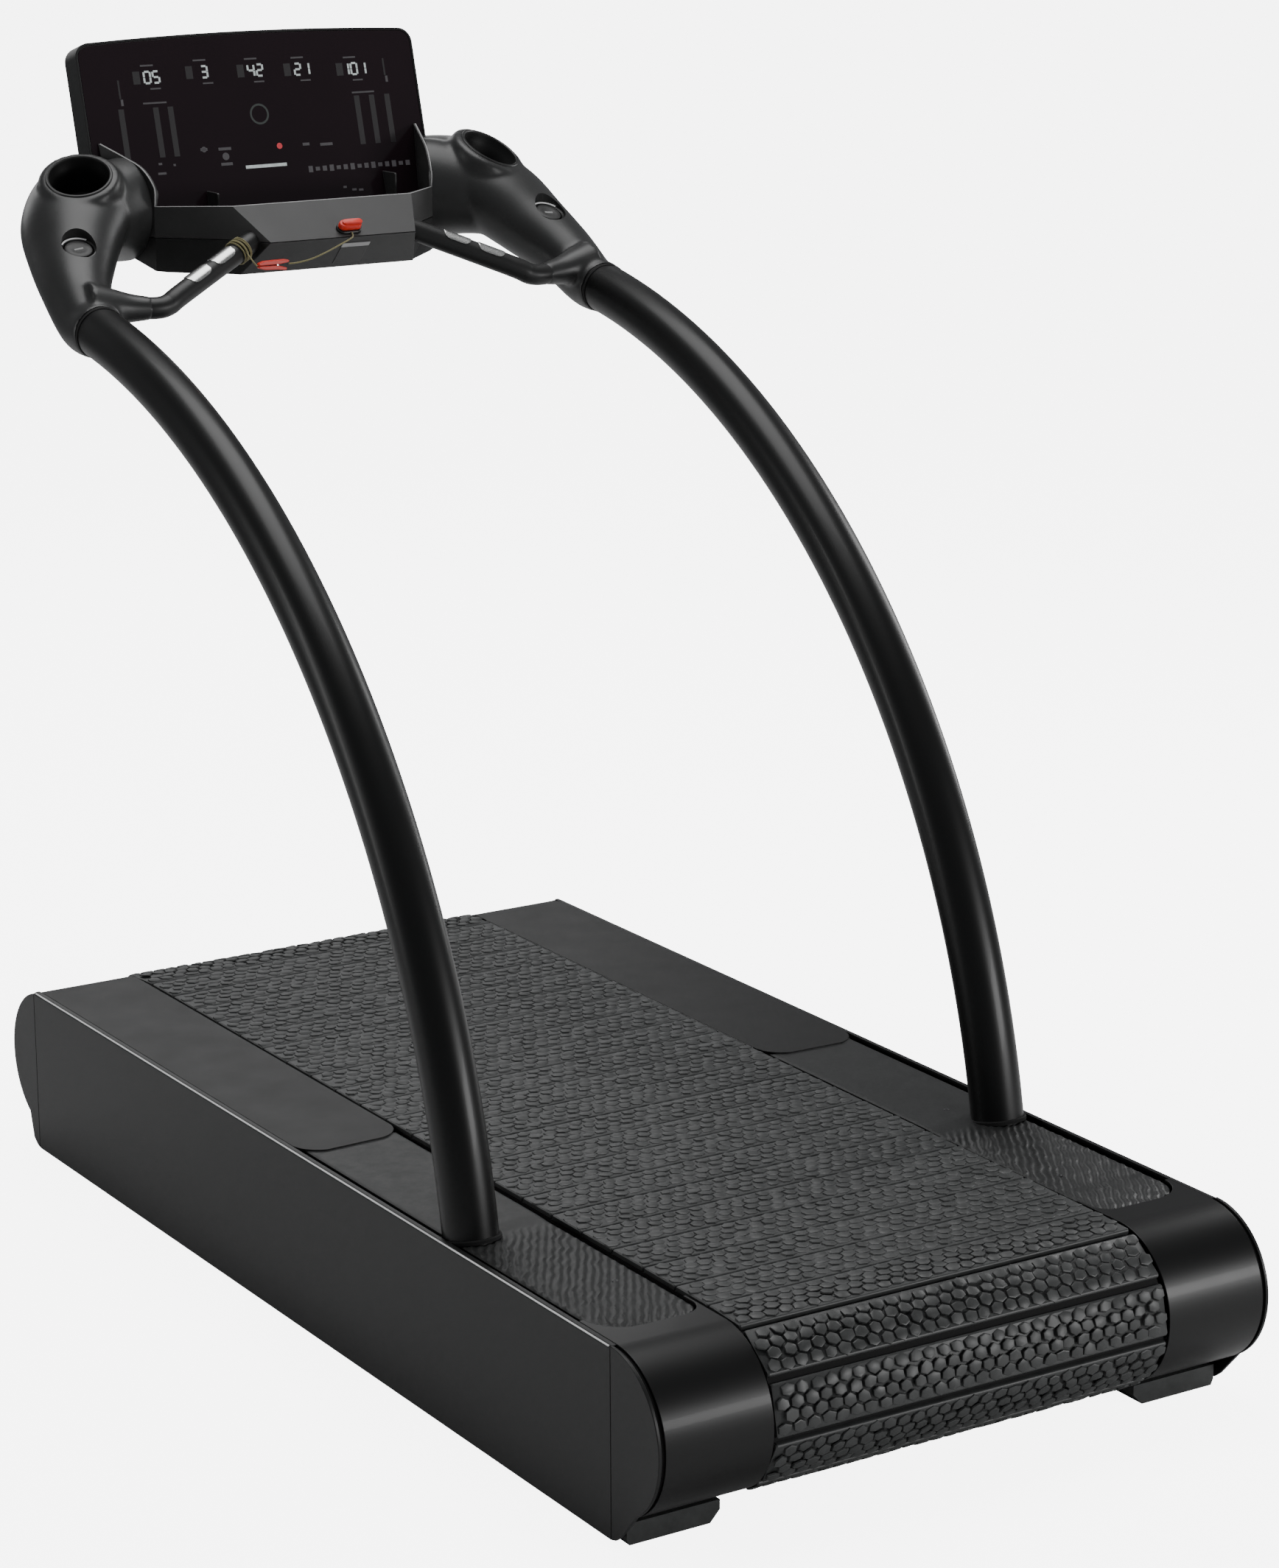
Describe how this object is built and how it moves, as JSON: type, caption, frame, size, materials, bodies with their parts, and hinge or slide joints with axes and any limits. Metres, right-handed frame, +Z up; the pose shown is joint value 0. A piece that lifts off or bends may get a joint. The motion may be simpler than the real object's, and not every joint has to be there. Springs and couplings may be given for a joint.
{
  "type": "slat-belt treadmill",
  "caption": "Treadmill with a flat running deck of rubber slats on drums, arched posts, moulded arms with cup wells and grip bars, and a tilted display console.",
  "frame": {"origin": "on the floor under the middle of the bounding box", "axes": "+X to the runner's right, +Y forward towards the console, +Z up"},
  "size_m": [0.968, 2.0059, 1.7288],
  "materials": {
    "satin_black_paint": "satin powder coat",
    "gloss_black_paint": "gloss",
    "moulded_charcoal": "fine-grained satin",
    "moulded_black": "fine-grained matte",
    "moulded_grey": "fine-grained matte",
    "black_rubber": "matte, moulded grip pattern",
    "steel": "brushed",
    "frame_steel": "semi-matte paint",
    "cast_aluminium": "as cast",
    "black_screen": "high gloss",
    "circuit_board": "solder mask",
    "red_plastic": "gloss",
    "olive_cord": "braided"
  },
  "bodies": {
    "base": {"side_panel_left": "satin_black_paint", "end_plate_rear_left": "satin_black_paint", "end_plate_front_left": "satin_black_paint", "rear_cover_left": "gloss_black_paint", "deck_cover_left": "moulded_charcoal", "foot_rail_left": "black_rubber", "frame_rail_left": "frame_steel", "bearing_rail_left": "cast_aluminium", "shaft_bearing_rear_left": "cast_aluminium", "shaft_bearing_front_left": "cast_aluminium", "rear_foot_left": "black_rubber", "post_left": "gloss_black_paint", "post_bracket_left": "frame_steel", "arm_casing_left": "moulded_charcoal", "cup_liner_left": "black_rubber", "grip_bar_left": "moulded_black", "contact_pad_left": "steel", "side_panel_right": "satin_black_paint", "end_plate_rear_right": "satin_black_paint", "end_plate_front_right": "satin_black_paint", "rear_cover_right": "gloss_black_paint", "deck_cover_right": "moulded_charcoal", "foot_rail_right": "black_rubber", "frame_rail_right": "frame_steel", "bearing_rail_right": "cast_aluminium", "shaft_bearing_rear_right": "cast_aluminium", "shaft_bearing_front_right": "cast_aluminium", "rear_foot_right": "black_rubber", "post_right": "gloss_black_paint", "post_bracket_right": "frame_steel", "arm_casing_right": "moulded_charcoal", "cup_liner_right": "black_rubber", "grip_bar_right": "moulded_black", "contact_pad_right": "steel", "cross_member_rear": "frame_steel", "cross_member_front": "frame_steel", "slat_belt": "black_rubber", "drive_motor": "cast_aluminium", "drive_belt": "black_rubber", "power_inlet": "moulded_black", "console_housing": "moulded_charcoal", "screen_lens": "black_screen", "display_board": "circuit_board", "console_tray": "moulded_grey", "lower_cover": "moulded_black", "key_socket": "moulded_black", "lanyard": "olive_cord", "lanyard_wrap": "olive_cord", "safety_clip": "red_plastic"},
    "rear_drum": {"rear_drum": "steel"},
    "front_drum": {"front_drum": "steel", "drum_pulley": "cast_aluminium"},
    "motor_shaft": {"motor_pulley": "cast_aluminium"},
    "elevation_foot_left": {"elevation_rack_left": "steel"},
    "elevation_foot_right": {"elevation_rack_right": "steel"},
    "elevation_pinion": {"elevation_shaft": "steel"},
    "incline_rocker": {"rocker_left": "moulded_grey"},
    "speed_rocker": {"rocker_right": "moulded_grey"},
    "key": {"safety_key": "red_plastic"},
    "jaw": {"clip_jaw": "red_plastic"}
  },
  "joints": [
    {"name": "rear_drum_spin", "type": "hinge", "parent": "base", "child": "rear_drum", "pos_m": [0, -0.887, 0.152], "axis": [1, 0, 0], "continuous": true},
    {"name": "front_drum_spin", "type": "hinge", "parent": "base", "child": "front_drum", "pos_m": [0, 0.807, 0.152], "axis": [1, 0, 0], "continuous": true},
    {"name": "motor_spin", "type": "hinge", "parent": "base", "child": "motor_shaft", "pos_m": [0.3585, 0.5, 0.13], "axis": [1, 0, 0], "continuous": true},
    {"name": "elevation_left", "type": "slide", "parent": "base", "child": "elevation_foot_left", "axis": [0, 0, -1], "range_m": [0, 0.12]},
    {"name": "elevation_right", "type": "slide", "parent": "base", "child": "elevation_foot_right", "axis": [0, 0, -1], "range_m": [0, 0.12]},
    {"name": "elevation_turn", "type": "hinge", "parent": "base", "child": "elevation_pinion", "pos_m": [0, 0.6655, 0.075], "axis": [1, 0, 0], "range_deg": [0, 444.6]},
    {"name": "incline_rocker_tilt", "type": "hinge", "parent": "base", "child": "incline_rocker", "pos_m": [-0.408, 0.722, 1.4385], "axis": [0.9772, -0.2124, 0], "range_deg": [-4, 4], "stiffness_Nm_per_rad": 0.3},
    {"name": "speed_rocker_tilt", "type": "hinge", "parent": "base", "child": "speed_rocker", "pos_m": [0.408, 0.722, 1.4385], "axis": [0.9772, 0.2124, 0], "range_deg": [-4, 4], "stiffness_Nm_per_rad": 0.3},
    {"name": "key_pull", "type": "slide", "parent": "base", "child": "key", "axis": [0, -0.6097, 0.7926], "range_m": [0, 0.025]},
    {"name": "jaw_open", "type": "hinge", "parent": "base", "child": "jaw", "pos_m": [-0.125, 0.632, 1.406], "axis": [0, 1, 0], "range_deg": [-14, 0], "stiffness_Nm_per_rad": 0.05, "springref_deg": 5.73}
  ],
  "couplings": [
    {"joint": "rear_drum_spin", "follows": "front_drum_spin", "ratio": 1},
    {"joint": "motor_spin", "follows": "front_drum_spin", "ratio": 2.5},
    {"joint": "elevation_right", "follows": "elevation_left", "ratio": 1},
    {"joint": "elevation_turn", "follows": "elevation_left", "rad_per_m": 64.516}
  ]
}
